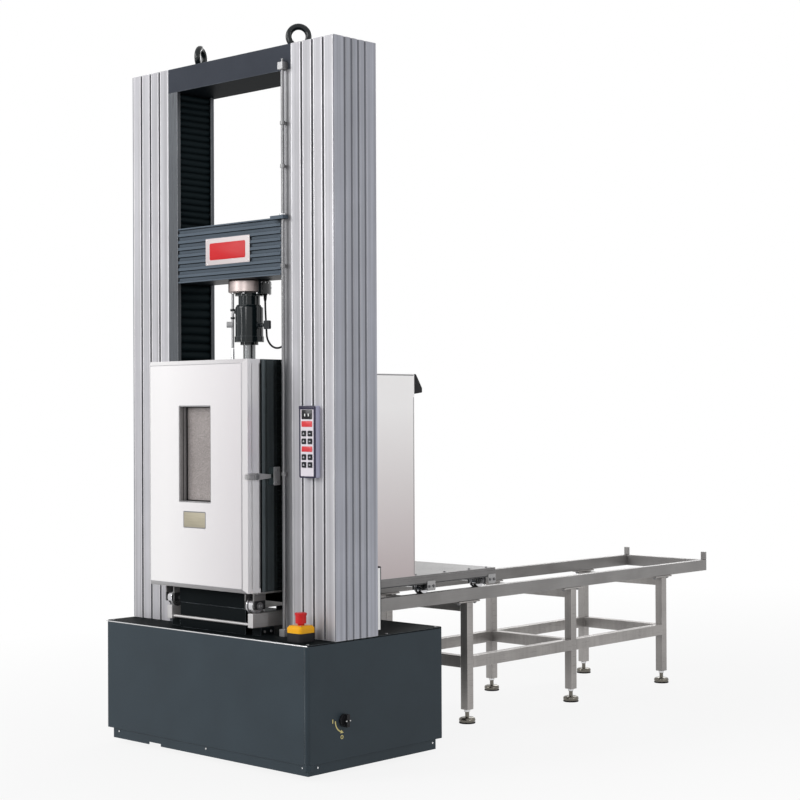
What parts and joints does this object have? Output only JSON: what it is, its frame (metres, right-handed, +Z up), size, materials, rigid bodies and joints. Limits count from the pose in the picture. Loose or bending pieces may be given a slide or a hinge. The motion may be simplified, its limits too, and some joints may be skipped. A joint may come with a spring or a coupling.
{
  "type": "universal testing machine",
  "caption": "Floor-standing tensile testing machine with ribbed columns, moving crosshead and a roll-back environmental chamber on bench rails.",
  "frame": {"origin": "on the floor, under the middle of the whole plan; the load axis is at x = 0, y = -1.1525 m", "axes": "+X to the right of someone facing the machine, +Y to the rear along the rails, +Z up"},
  "size_m": [1.0733, 2.807, 2.511],
  "materials": {
    "slate_paint": "satin",
    "black_paint": "satin",
    "anodised": "satin",
    "hardened_steel": "polished",
    "stainless": "brushed",
    "bench_stainless": "brushed",
    "dark_stainless": "polished",
    "black_steel": "satin",
    "bellows_cloth": "matte",
    "black_rubber": "matte",
    "lead_jacket": "satin",
    "indigo_plastic": "satin",
    "panel_film": "satin",
    "key_plastic": "satin",
    "black_plastic": "satin",
    "yellow_plastic": "gloss",
    "red_plastic": "gloss",
    "window_glass": "clear"
  },
  "bodies": {
    "machine_frame": {"base_frame": "slate_paint", "base_panels": "slate_paint", "base_top_cover": "black_paint", "levelling_mounts": "black_rubber", "column_left": "anodised", "column_right": "anodised", "column_strips": "slate_paint", "guide_rods": "hardened_steel", "top_beam": "slate_paint", "eye_bolts": "black_steel", "screw_bearings": "black_steel", "servo_motor": "black_paint", "drive_belt": "black_rubber", "upper_bellows": "bellows_cloth", "lower_bellows": "bellows_cloth", "column_brackets": "stainless", "pendant_case": "indigo_plastic", "pendant_panel": "panel_film", "estop_base": "black_plastic", "estop_cover": "yellow_plastic", "rails": "bench_stainless", "rail_blocks": "slate_paint", "bench_frame": "bench_stainless", "bench_feet": "bench_stainless", "lower_coupling": "black_steel"},
    "crosshead": {"crosshead": "slate_paint", "crosshead_bearings": "hardened_steel", "load_cell": "stainless", "upper_coupling": "black_steel", "signal_lead": "lead_jacket"},
    "lock_screw": {"lock_screw": "black_steel"},
    "ballscrew_left": {"ballscrew_left": "hardened_steel"},
    "ballscrew_right": {"ballscrew_right": "hardened_steel"},
    "motor_pulley": {"motor_pulley": "black_steel"},
    "chamber": {"chamber_shell": "dark_stainless", "chamber_liner": "stainless", "rear_unit": "stainless", "rear_hood": "black_plastic", "trolley_deck": "bench_stainless", "lower_pull_rod": "hardened_steel", "lower_grip": "stainless"},
    "upper_string": {"upper_pull_rod": "hardened_steel", "upper_grip": "stainless"},
    "rollers_front": {"rollers_front": "hardened_steel"},
    "rollers_middle": {"rollers_middle": "hardened_steel"},
    "rollers_rear": {"rollers_rear": "hardened_steel"},
    "door": {"chamber_door": "stainless", "door_window": "window_glass"},
    "latch": {"door_latch": "stainless"},
    "limit_rod": {"limit_rod": "hardened_steel"},
    "estop_button": {"estop_button": "red_plastic"},
    "switch_knob": {"switch_knob": "black_plastic"},
    "pendant_key_1": {"pendant_key_1": "key_plastic"},
    "pendant_key_2": {"pendant_key_2": "key_plastic"},
    "pendant_key_3": {"pendant_key_3": "key_plastic"},
    "pendant_key_4": {"pendant_key_4": "key_plastic"},
    "pendant_key_5": {"pendant_key_5": "key_plastic"},
    "pendant_key_6": {"pendant_key_6": "key_plastic"},
    "pendant_key_7": {"pendant_key_7": "key_plastic"},
    "pendant_key_8": {"pendant_key_8": "key_plastic"}
  },
  "joints": [
    {"name": "crosshead_slide", "type": "slide", "parent": "machine_frame", "child": "crosshead", "axis": [0, 0, 1], "range_m": [-0.035, 0.15], "deforming": ["upper_bellows", "lower_bellows"]},
    {"name": "ballscrew_left_turn", "type": "hinge", "parent": "machine_frame", "child": "ballscrew_left", "pos_m": [-0.385, -1.1525, 0.4], "axis": [0, 0, 1], "continuous": true},
    {"name": "ballscrew_right_turn", "type": "hinge", "parent": "machine_frame", "child": "ballscrew_right", "pos_m": [0.385, -1.1525, 0.4], "axis": [0, 0, 1], "continuous": true},
    {"name": "motor_turn", "type": "hinge", "parent": "machine_frame", "child": "motor_pulley", "pos_m": [0, -0.9525, 0.294], "axis": [0, 0, 1], "continuous": true},
    {"name": "chamber_slide", "type": "slide", "parent": "machine_frame", "child": "chamber", "axis": [0, 1, 0], "range_m": [0, 1.45]},
    {"name": "upper_string_slide", "type": "slide", "parent": "chamber", "child": "upper_string", "axis": [0, 0, 1], "range_m": [-0.035, 0.15]},
    {"name": "door_hinge", "type": "hinge", "parent": "chamber", "child": "door", "pos_m": [-0.2593, -1.3295, 0.975], "axis": [0, 0, -1], "range_deg": [0, 110]},
    {"name": "latch_turn", "type": "hinge", "parent": "door", "child": "latch", "pos_m": [0.258, -1.3575, 0.973], "axis": [1, 0, 0], "range_deg": [0, 90]},
    {"name": "lock_screw_turn", "type": "hinge", "parent": "crosshead", "child": "lock_screw", "pos_m": [0.06, -1.1525, 1.49], "axis": [1, 0, 0], "range_deg": [0, 90]},
    {"name": "limit_rod_slide", "type": "slide", "parent": "machine_frame", "child": "limit_rod", "axis": [0, 0, 1], "range_m": [-0.005, 0.005]},
    {"name": "estop_press", "type": "slide", "parent": "machine_frame", "child": "estop_button", "axis": [0, 0, -1], "range_m": [0, 0.005], "stiffness_N_per_m": 3000},
    {"name": "switch_turn", "type": "hinge", "parent": "machine_frame", "child": "switch_knob", "pos_m": [0.53, -1.2185, 0.181], "axis": [1, 0, 0], "range_deg": [0, 90]},
    {"name": "rollers_front_turn", "type": "hinge", "parent": "chamber", "child": "rollers_front", "pos_m": [0, -1.3175, 0.5392], "axis": [1, 0, 0], "continuous": true},
    {"name": "rollers_middle_turn", "type": "hinge", "parent": "chamber", "child": "rollers_middle", "pos_m": [0, -0.4875, 0.5392], "axis": [1, 0, 0], "continuous": true},
    {"name": "rollers_rear_turn", "type": "hinge", "parent": "chamber", "child": "rollers_rear", "pos_m": [0, -0.1735, 0.5392], "axis": [1, 0, 0], "continuous": true},
    {"name": "pendant_key_1_press", "type": "slide", "parent": "machine_frame", "child": "pendant_key_1", "axis": [0, 1, 0], "range_m": [0, 0.0012], "stiffness_N_per_m": 800},
    {"name": "pendant_key_2_press", "type": "slide", "parent": "machine_frame", "child": "pendant_key_2", "axis": [0, 1, 0], "range_m": [0, 0.0012], "stiffness_N_per_m": 800},
    {"name": "pendant_key_3_press", "type": "slide", "parent": "machine_frame", "child": "pendant_key_3", "axis": [0, 1, 0], "range_m": [0, 0.0012], "stiffness_N_per_m": 800},
    {"name": "pendant_key_4_press", "type": "slide", "parent": "machine_frame", "child": "pendant_key_4", "axis": [0, 1, 0], "range_m": [0, 0.0012], "stiffness_N_per_m": 800},
    {"name": "pendant_key_5_press", "type": "slide", "parent": "machine_frame", "child": "pendant_key_5", "axis": [0, 1, 0], "range_m": [0, 0.0012], "stiffness_N_per_m": 800},
    {"name": "pendant_key_6_press", "type": "slide", "parent": "machine_frame", "child": "pendant_key_6", "axis": [0, 1, 0], "range_m": [0, 0.0012], "stiffness_N_per_m": 800},
    {"name": "pendant_key_7_press", "type": "slide", "parent": "machine_frame", "child": "pendant_key_7", "axis": [0, 1, 0], "range_m": [0, 0.0012], "stiffness_N_per_m": 800},
    {"name": "pendant_key_8_press", "type": "slide", "parent": "machine_frame", "child": "pendant_key_8", "axis": [0, 1, 0], "range_m": [0, 0.0012], "stiffness_N_per_m": 800}
  ],
  "couplings": [
    {"joint": "ballscrew_left_turn", "follows": "crosshead_slide", "rad_per_m": 314.16},
    {"joint": "ballscrew_right_turn", "follows": "crosshead_slide", "rad_per_m": 314.16},
    {"joint": "motor_turn", "follows": "crosshead_slide", "rad_per_m": 471.24},
    {"joint": "upper_string_slide", "follows": "crosshead_slide", "ratio": 1},
    {"joint": "rollers_front_turn", "follows": "chamber_slide", "rad_per_m": -40},
    {"joint": "rollers_middle_turn", "follows": "chamber_slide", "rad_per_m": -40},
    {"joint": "rollers_rear_turn", "follows": "chamber_slide", "rad_per_m": -40}
  ]
}
